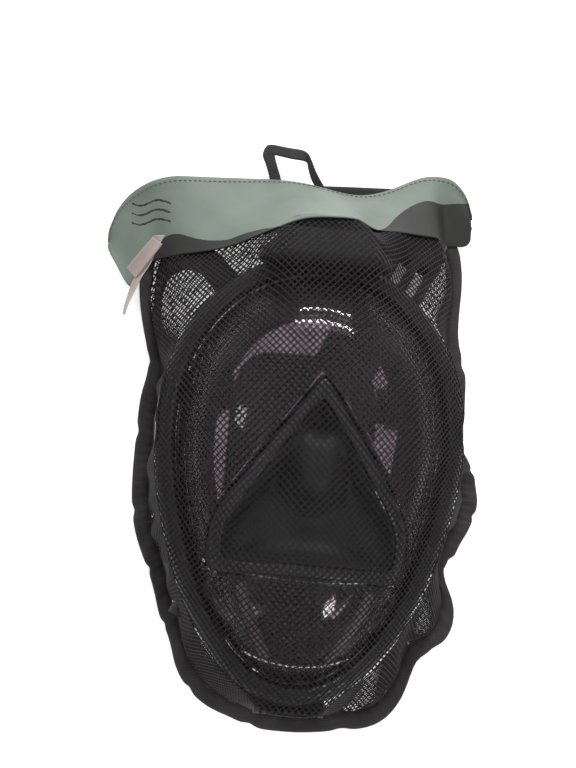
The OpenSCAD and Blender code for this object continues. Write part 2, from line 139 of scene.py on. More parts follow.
def shell(top, bottom, around=True, disc=False):
    """Verts and faces of a closed shell between two grids. Rows run outwards, columns anticlockwise."""
    rows, cols = top.shape[:2]
    n = rows * cols
    faces = quads(rows, cols, around, flip=True) + quads(rows, cols, around, offset=n)
    last = cols if around else cols - 1
    for j in range(last):
        k = (j + 1) % cols
        outer, inner = (rows - 1) * cols, 0
        faces.append([outer + k, outer + j, n + outer + j, n + outer + k])
        if not disc:
            faces.append([inner + j, inner + k, n + inner + k, n + inner + j])
    if disc:
        faces.append(list(range(cols)))
        faces.append([n + j for j in reversed(range(cols))])
    if not around:
        for i in range(rows - 1):
            a, b = i * cols, (i + 1) * cols
            faces.append([b, a, n + a, n + b])
            faces.append([a + cols - 1, b + cols - 1, n + b + cols - 1, n + a + cols - 1])
    return np.concatenate([top.reshape(-1, 3), bottom.reshape(-1, 3)]), faces


def tube(rows):
    """Faces of a ring whose section is the rows, closed both ways."""
    count, cols = rows.shape[:2]
    last = (count - 1) * cols
    seam = [[last + j, last + (j + 1) % cols, (j + 1) % cols, j] for j in range(cols)]
    return quads(count, cols, around=True) + seam


def apply_modifiers(obj):
    graph = bpy.context.evaluated_depsgraph_get()
    graph.update()
    mesh = bpy.data.meshes.new_from_object(obj.evaluated_get(graph))
    obj.modifiers.clear()
    obj.data = mesh


def softened(node, name, voxel, rounds, material):
    """A copy of a CAD solid with its edges melted together, which stands for it."""
    obj = bpy.data.objects.new(name, NODES[node].data.copy())
    obj.data.materials.clear()
    bpy.context.scene.collection.objects.link(obj)
    remesh = obj.modifiers.new("remesh", "REMESH")
    remesh.mode = "VOXEL"
    remesh.voxel_size = voxel * MM
    relax = obj.modifiers.new("relax", "SMOOTH")
    relax.iterations = rounds
    relax.factor = 0.5
    apply_modifiers(obj)
    obj.data.polygons.foreach_set("use_smooth", [True] * len(obj.data.polygons))
    obj.data.materials.append(material)
    finish_piece(obj, (node,))
    return obj


# ---------------------------------------------------------------- materials
class Shader:
    """A short way to wire a procedural material."""

    def __init__(self, name):
        self.mat = bpy.data.materials.new(name)
        self.mat.use_nodes = True
        self.tree = self.mat.node_tree
        self.bsdf = self.tree.nodes["Principled BSDF"]

    def node(self, kind, **values):
        n = self.tree.nodes.new(kind)
        for key, value in values.items():
            setattr(n, key, value)
        return n

    def link(self, out, into):
        self.tree.links.new(out, into)

    def coords(self, scale=(1, 1, 1)):
        mapping = self.node("ShaderNodeMapping")
        mapping.inputs["Scale"].default_value = scale
        self.link(self.node("ShaderNodeTexCoord").outputs["Object"], mapping.inputs["Vector"])
        return mapping.outputs["Vector"]

    def noise(self, vector, scale, detail=3.0, rough=0.55):
        n = self.node("ShaderNodeTexNoise")
        n.inputs["Scale"].default_value = scale
        n.inputs["Detail"].default_value = detail
        n.inputs["Roughness"].default_value = rough
        self.link(vector, n.inputs["Vector"])
        return n.outputs["Fac"]

    def wave(self, vector, scale, direction):
        n = self.node("ShaderNodeTexWave", bands_direction=direction)
        n.inputs["Scale"].default_value = scale
        self.link(vector, n.inputs["Vector"])
        return n.outputs["Fac"]

    def math(self, kind, a, b):
        n = self.node("ShaderNodeMath", operation=kind)
        for socket, value in zip(n.inputs, (a, b)):
            if isinstance(value, (int, float)):
                socket.default_value = value
            else:
                self.link(value, socket)
        return n.outputs[0]

    def ramp(self, fac, stops):
        n = self.node("ShaderNodeValToRGB")
        elements = n.color_ramp.elements
        while len(elements) < len(stops):
            elements.new(0.5)
        for element, (place, colour) in zip(elements, stops):
            element.position = place
            element.color = (*colour, 1)
        self.link(fac, n.inputs["Fac"])
        return n.outputs["Color"]

    def mix(self, fac, a, b):
        n = self.node("ShaderNodeMix", data_type="RGBA")
        self.link(fac, n.inputs["Factor"])
        for key, value in (("A", a), ("B", b)):
            socket = [s for s in n.inputs if s.name == key and s.type == "RGBA"][0]
            if isinstance(value, tuple):
                socket.default_value = (*value, 1)
            else:
                self.link(value, socket)
        return [s for s in n.outputs if s.type == "RGBA"][0]

    def colour(self, out):
        self.link(out, self.bsdf.inputs["Base Color"])

    def roughness(self, fac, low, high):
        n = self.node("ShaderNodeMapRange")
        n.inputs["To Min"].default_value = low
        n.inputs["To Max"].default_value = high
        self.link(fac, n.inputs["Value"])
        self.link(n.outputs["Result"], self.bsdf.inputs["Roughness"])

    def bump(self, height, strength, distance):
        n = self.node("ShaderNodeBump")
        n.inputs["Strength"].default_value = strength
        n.inputs["Distance"].default_value = distance * MM
        self.link(height, n.inputs["Height"])
        self.link(n.outputs["Normal"], self.bsdf.inputs["Normal"])

    def set(self, **values):
        for key, value in values.items():
            self.bsdf.inputs[key.replace("_", " ")].default_value = value


def plastic(name, dark, light, low, high, grain=0.15, specular=0.5):
    """Moulded plastic: faint mottling, fine spark-eroded grain and handling marks in the gloss."""
    s = Shader(name)
    v = s.coords()
    s.colour(s.ramp(s.noise(v, 40, 4), [(0.35, dark), (0.7, light)]))
    s.roughness(s.noise(v, 90, 5), low, high)
    s.bump(s.noise(v, 2600, 2), grain, 0.05)
    s.set(Specular_IOR_Level=specular)
    return s.mat


def rubber(name, dark, light, low=0.42, high=0.62):
    s = Shader(name)
    v = s.coords()
    s.colour(s.ramp(s.noise(v, 55, 4), [(0.3, dark), (0.75, light)]))
    s.roughness(s.noise(v, 120, 4), low, high)
    s.bump(s.noise(v, 1500, 2), 0.25, 0.06)
    s.set(Sheen_Weight=0.15, Sheen_Roughness=0.5)
    return s.mat


def woven(name, dark, light, pitch, rough=0.75, sheen=0.25):
    """Plain weave: two crossed sets of threads, pitch apart, over a slow change of shade."""
    s = Shader(name)
    v = s.coords()
    per_metre = 1 / (pitch * MM) / pi
    weave = s.math("MULTIPLY", s.wave(v, per_metre, "X"), s.wave(v, per_metre, "Y"))
    shade = s.math("ADD", s.math("MULTIPLY", weave, 0.5), s.math("MULTIPLY", s.noise(v, 60, 4), 0.5))
    s.colour(s.ramp(shade, [(0.15, dark), (0.8, light)]))
    s.bump(weave, 0.5, 0.2)
    s.set(Roughness=rough, Sheen_Weight=sheen, Sheen_Roughness=0.4, Specular_IOR_Level=0.2)
    return s.mat


def net_yarn():
    s = Shader("net_yarn")
    v = s.coords()
    twist = s.noise(s.coords((3000, 3000, 3000)), 1.0, 2)
    s.colour(s.ramp(s.noise(v, 70, 3), [(0.3, (0.013, 0.011, 0.012)), (0.7, (0.024, 0.021, 0.023))]))
    s.bump(twist, 0.4, 0.08)
    s.set(Roughness=0.6, Specular_IOR_Level=0.25)
    return s.mat


def smoked_lens():
    s = Shader("smoked_lens")
    v = s.coords()
    s.colour(s.ramp(s.noise(v, 12, 2), [(0.3, (0.395, 0.305, 0.350)), (0.7, (0.460, 0.365, 0.412))]))
    s.roughness(s.noise(v, 25, 4), 0.03, 0.09)
    s.bump(s.noise(v, 14, 2), 0.02, 1.0)
    s.set(Transmission_Weight=0.97, IOR=1.45, Specular_IOR_Level=0.26)
    return s.mat


def silicone(name, dark, light, through):
    s = Shader(name)
    v = s.coords()
    s.colour(s.ramp(s.noise(v, 45, 3), [(0.3, dark), (0.7, light)]))
    s.roughness(s.noise(v, 80, 4), 0.28, 0.45)
    s.bump(s.noise(v, 700, 2), 0.15, 0.06)
    s.set(Transmission_Weight=through, IOR=1.41)
    return s.mat


HEADER_THREAD_PITCH = 0.55


def header_coat():
    """Coated green fabric with a dark wave printed along its lower edge."""
    s = Shader("header_coat")
    v = s.coords()
    print_side = s.node("ShaderNodeAttribute", attribute_name="print")
    motif = s.node("ShaderNodeAttribute", attribute_name="motif")
    ragged = s.math("MULTIPLY", s.math("SUBTRACT", s.noise(v, 900, 2), 0.5), 0.5)
    dark_side = s.math("LESS_THAN", s.math("ADD", print_side.outputs["Fac"], ragged), 0.0)
    stroke = s.math("LESS_THAN", s.math("ADD", motif.outputs["Fac"], ragged), 0.0)
    inked = s.math("MAXIMUM", dark_side, stroke)
    green = s.ramp(s.noise(v, 22, 5), [(0.3, (0.112, 0.141, 0.118)), (0.7, (0.150, 0.185, 0.156))])
    ink = s.ramp(s.noise(v, 30, 5), [(0.3, (0.014, 0.014, 0.0135)), (0.7, (0.024, 0.0235, 0.023))])
    s.colour(s.mix(inked, green, ink))
    fine = 1 / (HEADER_THREAD_PITCH * MM) / pi
    weave = s.math("MULTIPLY", s.wave(v, fine, "X"), s.wave(v, fine, "Y"))
    crease = s.noise(v, 55, 4, 0.6)
    s.bump(s.math("ADD", s.math("MULTIPLY", weave, 0.12), s.math("MULTIPLY", crease, 1.0)), 0.35, 1.2)
    s.roughness(s.noise(v, 60, 4), 0.5, 0.68)
    s.set(Specular_IOR_Level=0.3)
    return s.mat


def thread(name, colour, light):
    s = Shader(name)
    v = s.coords()
    s.colour(s.ramp(s.noise(v, 400, 2), [(0.3, colour), (0.7, light)]))
    s.bump(s.wave(v, 2500, "DIAGONAL"), 0.4, 0.08)
    s.set(Roughness=0.6, Sheen_Weight=0.2)
    return s.mat


BLACK_PLASTIC = plastic("black_plastic", (0.014, 0.013, 0.015), (0.024, 0.022, 0.025), 0.22, 0.42)
SATIN_BLACK = plastic("satin_black", (0.016, 0.015, 0.016), (0.028, 0.026, 0.028), 0.5, 0.68, 0.3, 0.3)
GREY_PLASTIC = plastic("grey_plastic", (0.20, 0.20, 0.21), (0.30, 0.30, 0.31), 0.4, 0.55, 0.3)
WHITE_PLASTIC = plastic("white_plastic", (0.66, 0.66, 0.64), (0.78, 0.78, 0.76), 0.35, 0.5, 0.2)
BLACK_RUBBER = rubber("black_rubber", (0.010, 0.010, 0.011), (0.019, 0.018, 0.019))
NET_YARN = net_yarn()
LENS = smoked_lens()
SMOKE_SILICONE = silicone("smoke_silicone", (0.030, 0.027, 0.031), (0.050, 0.045, 0.050), 0.15)
CLEAR_SILICONE = silicone("clear_silicone", (0.62, 0.61, 0.60), (0.76, 0.75, 0.74), 0.15)
HEADER_COAT = header_coat()
EDGE_TAPE = woven("edge_tape", (0.026, 0.024, 0.025), (0.056, 0.052, 0.053), 0.9, sheen=0.08)
WEBBING = woven("loop_webbing", (0.028, 0.026, 0.028), (0.056, 0.053, 0.055), 0.8, sheen=0.05)
ELASTIC = woven("strap_elastic", (0.012, 0.012, 0.013), (0.035, 0.033, 0.035), 1.2)
PAD_CLOTH = woven("pad_cloth", (0.014, 0.014, 0.015), (0.034, 0.033, 0.035), 1.6, rough=0.8)
BACKING = woven("header_backing", (0.018, 0.018, 0.019), (0.040, 0.039, 0.040), 0.6)
LABEL = woven("label_satin", (0.34, 0.275, 0.25), (0.47, 0.40, 0.37), 0.35, rough=0.5, sheen=0.05)
PILE = woven("closure_pile", (0.010, 0.010, 0.010), (0.030, 0.030, 0.030), 0.7, rough=0.9)
THREAD = thread("header_thread", (0.05, 0.06, 0.055), (0.11, 0.13, 0.12))


# ---------------------------------------------------------------- camera, light and floor
CAMERA_BACK, CAMERA_TARGET = Vector((-0.10, -0.14, 0.985)), Vector((-0.0056, 0.0248, 0.03))
CAMERA_DISTANCE, CAMERA_FOCAL_MM = 0.9, 70.2
ROOM_LIGHT, BACKDROP_EXTRA = 0.84, 0.2
FLOOR_HALF, FLOOR_DROP = 30, 0.0004


def camera_and_studio():
    up = Vector((-sin(BAG_TURN), cos(BAG_TURN), 0))
    back = CAMERA_BACK.normalized()
    cam_data = bpy.data.cameras.new("camera")
    cam_data.lens = CAMERA_FOCAL_MM
    cam = bpy.data.objects.new("camera", cam_data)
    bpy.context.scene.collection.objects.link(cam)
    right = up.cross(back).normalized()
    true_up = back.cross(right).normalized()
    turn = Matrix((right, true_up, back)).transposed().to_4x4()
    cam.matrix_world = Matrix.Translation(CAMERA_TARGET + back * CAMERA_DISTANCE) @ turn
    bpy.context.scene.camera = cam

    def area(name, place, size, power, aim=(0, 0, 0.03)):
        data = bpy.data.lights.new(name, "AREA")
        data.shape = "RECTANGLE"
        data.size, data.size_y = size
        data.energy = power
        light = bpy.data.objects.new(name, data)
        light.location = place
        light.rotation_euler = (Vector(aim) - Vector(place)).to_track_quat("-Z", "Y").to_euler()
        bpy.context.scene.collection.objects.link(light)

    area("lamp", (0.16, 1.35, 0.95), (0.9, 0.1), 13, (0, 0.05, 0.08))
    area("low_lamp", (0.14, 1.45, 0.6), (0.8, 0.08), 8, (0, 0.05, 0.08))
    area("window", (-0.95, 0.3, 1.25), (0.2, 0.3), 1.4)
    area("fill", (0.62, -0.9, 1.0), (0.2, 0.2), 3)

    world = bpy.data.worlds.new("studio")
    world.use_nodes = True
    background = world.node_tree.nodes["Background"]
    background.inputs["Color"].default_value = (1, 1, 1, 1)
    # The camera sees the backdrop a little brighter than it lights the part, so that it joins the floor.
    nodes, links = world.node_tree.nodes, world.node_tree.links
    seen = nodes.new("ShaderNodeMath")
    seen.operation = "MULTIPLY_ADD"
    seen.inputs[1].default_value, seen.inputs[2].default_value = BACKDROP_EXTRA, ROOM_LIGHT
    links.new(nodes.new("ShaderNodeLightPath").outputs["Is Camera Ray"], seen.inputs[0])
    links.new(seen.outputs[0], background.inputs["Strength"])
    bpy.context.scene.world = world
    bpy.context.scene.view_settings.view_transform = "Standard"

    s = Shader("floor")
    s.colour(s.ramp(s.noise(s.coords(), 6, 3), [(0.2, (0.86, 0.86, 0.86)), (0.8, (0.9, 0.9, 0.9))]))
    s.set(Roughness=0.9, Emission_Color=(1, 1, 1, 1), Emission_Strength=0.5)
    mesh = bpy.data.meshes.new("floor")
    corners = [(x * FLOOR_HALF, y * FLOOR_HALF, 0) for x, y in ((-1, -1), (1, -1), (1, 1), (-1, 1))]
    mesh.from_pydata(corners, [], [(0, 1, 2, 3)])
    floor = bpy.data.objects.new("floor", mesh)
    floor.location.z = -FLOOR_DROP
    floor.data.materials.append(s.mat)
    bpy.context.scene.collection.objects.link(floor)


camera_and_studio()


# ---------------------------------------------------------------- the mask under the net
BAG_NODES = {n for n in NODES if n.startswith(("bag_", "header_", "closure_", "hang_", "care_"))}


def cad_bvh(names):
    verts, faces = [], []
    for name in names:
        mesh = NODES[name].data
        base = len(verts)
        verts += [v.co.copy() for v in mesh.vertices]
        faces += [[base + i for i in p.vertices] for p in mesh.polygons]
    return BVHTree.FromPolygons(verts, faces)


MASK_BVH = cad_bvh([n for n in NODES if n not in BAG_NODES])


def mask_height(x, y):
    """Highest point of the mask over a spot round its centre, in millimetres."""
    start = Vector(((x + CENTRE[0]) * MM, (y + CENTRE[1]) * MM, 0.3))
    hit = MASK_BVH.ray_cast(start, Vector((0, 0, -1)))[0]
    return hit.z / MM if hit else 0.0


def rim_radii():
    """Distance of the bag's rim from the mask's centre, by degree, from the edge tape's outline."""
    verts = np.array([v.co[:2] for v in NODES["bag_edge_tape"].data.vertices]) / MM - CENTRE
    angle = np.degrees(np.arctan2(verts[:, 1], verts[:, 0])) % 360
    radius = np.hypot(verts[:, 0], verts[:, 1])
    bins = np.round(angle / 3).astype(int) % 120
    outer = np.array([radius[bins == k].max() for k in range(120)])
    return np.interp(np.arange(360), np.arange(121) * 3, np.append(outer, outer[0]))


RIM = rim_radii()


def rim_r(t):
    return np.interp(np.degrees(t) % 360, np.arange(361), np.append(RIM, RIM[0]))


def taut_line(reach, heights):
    """The line of a thread pulled tight over heights: the upper hull of the points, as (reach, height)."""
    hull = []
    for p in zip(reach, heights):
        while len(hull) >= 2:
            (ax, ay), (bx, by) = hull[-2], hull[-1]
            if (bx - ax) * (p[1] - ay) - (by - ay) * (p[0] - ax) >= 0:
                hull.pop()
            else:
                break
        hull.append(p)
    return np.array(hull)


NET_DIRECTIONS, NET_SAMPLES, REACH_SAMPLES = 240, 90, 110
NET_CLEAR, NET_LEAST_CLEAR = 1.3, 1.0
NET_IN_TAPE, NET_RIM_Z = 0.6, 2.2


def blur_around(a, rounds):
    for _ in range(rounds):
        a = 0.25 * np.roll(a, 1, 0) + 0.5 * a + 0.25 * np.roll(a, -1, 0)
    return a


def drape_net():
    """The front net over the mask, as (reach, height) by direction and by share of the way to the rim."""
    surface = np.zeros((NET_DIRECTIONS, NET_SAMPLES, 2))
    lengths = np.zeros(NET_DIRECTIONS)
    for k in range(NET_DIRECTIONS):
        t = 2 * pi * k / NET_DIRECTIONS
        rim = float(rim_r(t)) - TAPE_W + NET_IN_TAPE
        reach = np.linspace(0, rim, REACH_SAMPLES)
        heights = np.array([mask_height(r * cos(t), r * sin(t)) for r in reach]) + NET_CLEAR
        heights[1:-1] = np.maximum(heights[1:-1], np.maximum(heights[:-2], heights[2:]))
        heights[-1] = NET_RIM_Z
        line = taut_line(reach, heights)
        steps = np.hypot(*np.diff(line, axis=0).T)
        along = np.concatenate([[0], np.cumsum(steps)])
        lengths[k] = along[-1]
        share = np.linspace(0, 1, NET_SAMPLES) * along[-1]
        surface[k, :, 0] = np.interp(share, along, line[:, 0])
        surface[k, :, 1] = np.interp(share, along, line[:, 1])
    surface = blur_around(surface, 3)
    for k in range(NET_DIRECTIONS):
        t = 2 * pi * k / NET_DIRECTIONS
        for i in range(NET_SAMPLES - 2):
            r = surface[k, i, 0]
            floor = mask_height(r * cos(t), r * sin(t)) + NET_LEAST_CLEAR
            surface[k, i, 1] = max(surface[k, i, 1], floor)
    surface[..., 1] = blur_around(surface[..., 1], 1)
    return surface, blur_around(lengths, 6)


NET_SURFACE, NET_LENGTHS = drape_net()
NET_SLACK = 1.02


def net_point(u, v):
    """Where a point of the flat net lies once draped, and whether it is inside the rim. Millimetres."""
    t = np.arctan2(v, u)
    k = (t / (2 * pi) * NET_DIRECTIONS) % NET_DIRECTIONS
    k0 = np.floor(k).astype(int) % NET_DIRECTIONS
    k1, kf = (k0 + 1) % NET_DIRECTIONS, k - np.floor(k)
    cut = (NET_LENGTHS[k0] * (1 - kf) + NET_LENGTHS[k1] * kf) * NET_SLACK
    share = np.hypot(u, v) / cut
    f = np.clip(share, 0, 1) * (NET_SAMPLES - 1)
    f0 = np.minimum(np.floor(f).astype(int), NET_SAMPLES - 2)
    ff = f - f0
    def near(kk, fi, weight):
        return NET_SURFACE[kk, fi] * weight[:, None]
    rz = (near(k0, f0, (1 - kf) * (1 - ff)) + near(k1, f0, kf * (1 - ff))
          + near(k0, f0 + 1, (1 - kf) * ff) + near(k1, f0 + 1, kf * ff))
    # Soft folds run from the rim inwards where the flat cloth is gathered.
    gather = smooth((share - 0.62) / 0.3) * smooth((1.0 - share) / 0.06)
    fold = np.sin(t * 23 + 2.0 * np.sin(t * 5)) * np.sin(t * 7 + 1.3) * 2.2 * gather
    reach = rz[:, 0] + fold
    points = np.stack([reach * np.cos(t), reach * np.sin(t), rz[:, 1] + 0.4 * np.abs(fold)], -1)
    return points, share <= 1.0


def net_top(x, y):
    """Height of the draped net over a spot round the mask's centre."""
    t = atan2(y, x)
    k = int(round(t / (2 * pi) * NET_DIRECTIONS)) % NET_DIRECTIONS
    line = NET_SURFACE[k]
    r = float(np.hypot(x, y))
    return float(np.interp(r, line[:, 0], line[:, 1], right=NET_RIM_Z))


NET_PITCH_X, NET_PITCH_Y = 4.2, 4.5
FRONT_YARN_R, BACK_YARN_R, YARN_OVERLAP = 0.46, 0.42, 0.12


def strands(points, pairs, up, thick):
    """Three-sided yarns between pairs of points, with their flat side to the cloth."""
    a, b = points[pairs[:, 0]], points[pairs[:, 1]]
    along = b - a
    along /= np.linalg.norm(along, axis=1, keepdims=True) + 1e-9
    side = np.cross(along, up[pairs[:, 0]])
    side /= np.linalg.norm(side, axis=1, keepdims=True) + 1e-9
    out = np.cross(side, along)
    rings = []
    for end, push in ((a, -YARN_OVERLAP), (b, YARN_OVERLAP)):
        end = end + along * push
        for angle in (90, 210, 330):
            rings.append(end + thick * (cos(radians(angle)) * side + sin(radians(angle)) * out))
    verts = np.stack(rings, 1).reshape(-1, 3)
    base = np.arange(len(pairs))[:, None] * 6
    faces = np.concatenate([base + np.array(q) for q in ((0, 1, 4, 3), (1, 2, 5, 4), (2, 0, 3, 5))])
    return verts, faces.tolist()


def lattice(width, height):
    """Knots of a diamond net and the pairs that its yarns join."""
    nx, ny = int(width / NET_PITCH_X) + 2, int(height / NET_PITCH_Y * 2) + 2
    i, j = np.meshgrid(np.arange(-nx // 2, nx // 2), np.arange(-ny // 2, ny // 2), indexing="ij")
    knots = np.stack([(i + 0.5 * (j % 2)) * NET_PITCH_X, j * NET_PITCH_Y / 2], -1).reshape(-1, 2)
    count_i, count_j = i.shape
    index = np.arange(count_i * count_j).reshape(count_i, count_j)
    pairs = []
    for row in range(count_j - 1):
        pairs.append(np.stack([index[:, row], index[:, row + 1]], -1))
        if j[0, row] % 2 == 1:
            pairs.append(np.stack([index[:-1, row], index[1:, row + 1]], -1))
        else:
            pairs.append(np.stack([index[1:, row], index[:-1, row + 1]], -1))
    return knots, np.concatenate(pairs)


def front_net():
    """The front panel, cut off where the header covers it."""
    size = 2 * NET_LENGTHS.max() * NET_SLACK + 20
    flat, pairs = lattice(size, size)
    points, inside = net_point(flat[:, 0], flat[:, 1])
    ahead = net_point(flat[:, 0] + 1.0, flat[:, 1])[0] - points
    aside = net_point(flat[:, 0], flat[:, 1] + 1.0)[0] - points
    up = np.cross(ahead, aside)
    up /= np.linalg.norm(up, axis=1, keepdims=True) + 1e-9
    in_header = turned(points[:, :2], -BAG_TURN)
    across, high = in_header[:, 0], in_header[:, 1]
    inside &= ~((high > header_low(across) + 5) & (across > HEADER_LEFT + 6) & (across < HEADER_RIGHT - 4))
    keep = inside[pairs[:, 0]] & inside[pairs[:, 1]]
    verts, faces = strands(points, pairs[keep], up, FRONT_YARN_R)
    obj = piece("front_net", at_mask(verts), faces, NET_YARN,
                ("bag_front_net", "bag_front_net_sides"))


BACK_NET_SIZE, BACK_NET_INSET, BACK_NET_TURN = 400, 4, radians(7)


def back_net():
    """The back panel, flat on the table with a slight ripple."""
    flat, pairs = lattice(BACK_NET_SIZE, BACK_NET_SIZE)
    flat = turned(flat, BACK_NET_TURN)
    t = np.arctan2(flat[:, 1], flat[:, 0])
    r = np.hypot(flat[:, 0], flat[:, 1])
    inside = r < rim_r(t) - BACK_NET_INSET
    z = 0.75 + 0.3 * np.sin(flat[:, 0] / 17 + np.sin(flat[:, 1] / 23))
    points = np.concatenate([flat, z[:, None]], 1)
    keep = inside[pairs[:, 0]] & inside[pairs[:, 1]]
    up = np.tile([0.0, 0.0, 1.0], (len(points), 1))
    verts, faces = strands(points, pairs[keep], up, BACK_YARN_R)
    obj = piece("back_net", at_mask(verts), faces, NET_YARN, ("bag_back_net",))


# ---------------------------------------------------------------- bag edge, header, loop and label
def edge_tape():
    """A woven tape folded over the rim, crumpled where the bag is drawn in."""
    cols = 720
    t = np.linspace(0, 2 * pi, cols, endpoint=False)
    rim = rim_r(t)
    rim = 0.25 * np.roll(rim, 3) + 0.5 * rim + 0.25 * np.roll(rim, -3)
    notches = np.maximum(0, np.sin(t * 19 + 2.2 * np.sin(3 * t))) ** 8
    rim = rim - 1.3 * notches
    lift = 1.6 + 1.4 * np.sin(t * 9 + 1) * np.sin(t * 4 + 2) + 0.8 * np.sin(t * 31 + 3 * np.sin(t * 3))
    lift = np.maximum(0.2, lift)
    section = [(0.0, 0.6), (0.35, 0.05), (2.0, 0.0), (TAPE_W - 0.5, 0.0), (TAPE_W, 0.9),
               (TAPE_W - 0.5, 1.8), (6.0, 2.0), (2.0, 1.9), (0.35, 1.5)]
    rows = []
    for inward, up in section:
        share = inward / TAPE_W
        r = rim - inward
        pucker = np.sin(t * 57 + inward) * (0.5 + 0.3 * np.sin(t * 7))
        pucker = pucker + 0.35 * np.sin(t * 131 + 4 * np.sin(t * 5))
        z = 0.3 + up + lift * (1 - share) + pucker * (0.3 + 0.7 * share)
        rows.append(np.stack([r * np.cos(t), r * np.sin(t), np.maximum(z, 0.15)], -1))
    rows = np.array(rows)
    piece("edge_tape", at_mask(rows), tube(rows), EDGE_TAPE, ("bag_edge_tape",))


def corner(share):
    """Share of a rounded corner's drop, from 0 where it starts to 1 at its end."""
    return 1 - np.sqrt(1 - np.clip(share, 0, 1) ** 2)


def bottom_gusset():
    """A doubled patch of the tape's cloth laid over the back net under the chin."""
    cols, rows, half_thick = 75, 14, 0.2
    x = np.linspace(-52, 27, cols)
    edge = -np.sqrt(np.maximum(0, rim_r(np.arctan2(-155.0, x)) ** 2 - x * x)) + TAPE_W - 2
    top, low = [], []
    for v in np.linspace(0, 1, rows):
        inner = -126 + 7 * ((x + 12) / 40) ** 2
        y = edge + (np.maximum(inner, edge + 4) - edge) * v
        z = 1.95 + 0.14 * np.sin(x / 6 + 3 * v) * np.sin(pi * v)
        top.append(np.stack([x, y, z + half_thick], -1))
        low.append(np.stack([x, y, z - half_thick], -1))
    top, low = np.array(top), np.array(low)
    verts, faces = shell(top, low, around=False)
    obj = piece("bottom_gusset", at_mask(verts), faces, EDGE_TAPE)


def header_high(x):
    """Top edge of the header at x, in the bag's own directions."""
    dip = 9 * np.exp(-((x - 38) / 30) ** 2)
    crest = 5.5 * np.exp(-((x - 84) / 20) ** 2)
    return 180.5 - dip + crest - 42 * corner((-73 - x) / 45) - 22 * corner((x - 94) / 16)


def header_low(x):
    """Bottom edge of the header at x."""
    step = 13 * smooth((10 - x) / 75)
    lobe = 17 * np.exp(-((x + 104) / 8) ** 2)
    return 140 - step - lobe + 10 * corner((-108 - x) / 10) + 6 * corner((x - 104) / 6)


PRINT_EDGE = np.array([
    (-118, 100), (-104, 104), (-98, 110), (-93, 126), (-89, 137), (-82, 141.5), (-75, 141), (-67, 136.5),
    (-58, 134), (-47, 133.6), (-38, 136.5), (-28, 137), (-14, 135), (20, 136), (42, 139),
    (50, 143), (57, 152), (65, 159.5), (73, 164.5), (80, 167), (88, 166.5), (97, 167.5), (112, 168),
])


def wave_print(x):
    """Height of the printed wave that divides the green from the dark below it."""
    near = [np.interp(x + step, PRINT_EDGE[:, 0], PRINT_EDGE[:, 1]) for step in (-3, -1.5, 0, 1.5, 3)]
    return sum(near) / 5


HEADER_CLEAR, HEADER_THICK = 1.4, 0.8


def header_front():
    """The coated header, pulled tight over the net from its hem to its top edge."""
    cols, rows = 190, 50
    share = 0.5 - 0.5 * np.cos(np.linspace(0, pi, cols))
    xs = HEADER_LEFT + (HEADER_RIGHT - HEADER_LEFT) * share
    low, high = header_low(xs), header_high(xs)
    v = np.linspace(0, 1, rows)
    y = low[:, None] + (high - low)[:, None] * v
    x = np.repeat(xs[:, None], rows, 1)
    spot = turned(np.stack([x, y], -1), BAG_TURN)
    under = np.array([[net_top(*p) for p in line] for line in spot]) + HEADER_CLEAR
    under[:, -1] = HEADER_HEM_Z
    under[:, -2] = np.minimum(under[:, -2], HEADER_HEM_Z + 4)
    z = np.zeros_like(under)
    for k in range(cols):
        reach = np.concatenate([[0], np.cumsum(np.hypot(*np.diff(spot[k], axis=0).T))])
        line = taut_line(reach, under[k])
        z[k] = np.interp(reach, line[:, 0], line[:, 1])
    for _ in range(12):
        padded = np.pad(z, ((1, 1), (0, 0)), mode="edge")
        z = np.maximum(0.25 * padded[:-2] + 0.5 * z + 0.25 * padded[2:], under)
    # The coated cloth keeps soft folds from being packed: broad ones across and a lifted hem.
    slack = np.sin(pi * v) ** 0.8
    z = z + (1.3 * np.sin(x / 13 + 1.2 * np.sin(y / 14) + 0.7) + 0.5 * np.sin(x / 5.1 + y / 9)) * slack + 1.2
    z = z + 1.6 * (0.5 + 0.5 * np.sin(x / 17 + 0.6)) * smooth((v - 0.8) / 0.2)
    z = np.maximum(z, 2.4)
    top = np.concatenate([spot, z[..., None]], -1)
    du = np.gradient(top, axis=0)
    dv = np.gradient(top, axis=1)
    normal = np.cross(du, dv)
    normal /= np.linalg.norm(normal, axis=-1, keepdims=True) + 1e-9
    bottom = top - normal * HEADER_THICK
    verts, faces = shell(top, bottom, around=False)
    obj = piece("header_front_panel", at_mask(verts), faces, HEADER_COAT, ("header_front",))
    # The material reads these two to tell the print and the strokes from the green.
    printed = (y - wave_print(x)).ravel()
    motif = wave_motif(x, y).ravel()
    for name, values in (("print", printed), ("motif", motif)):
        attribute = obj.data.attributes.new(name, "FLOAT", "POINT")
        attribute.data.foreach_set("value", np.concatenate([values, values]))
    return top, normal


def sheet_size(grid):
    """Width and length of a draped grid of points laid flat, in metres."""
    across = np.linalg.norm(np.diff(grid, axis=0), axis=-1).sum(0).max()
    along = np.linalg.norm(np.diff(grid, axis=1), axis=-1).sum(1).max()
    return across * MM, along * MM


def wave_motif(x, y):
    """Distance from three plain wavy strokes at the header's left end, less half their width."""
    far = np.full(x.shape, 50.0)
    for k in range(3):
        middle = 157 + (k - 1) * 6.0 + 1.8 * np.sin((x + 94) / 3.6)
        off = np.abs(y - middle) - 0.8
        out = np.maximum(np.abs(x + 92) - 12, 0)
        far = np.minimum(far, np.maximum(off, out - 0.2))
    return far


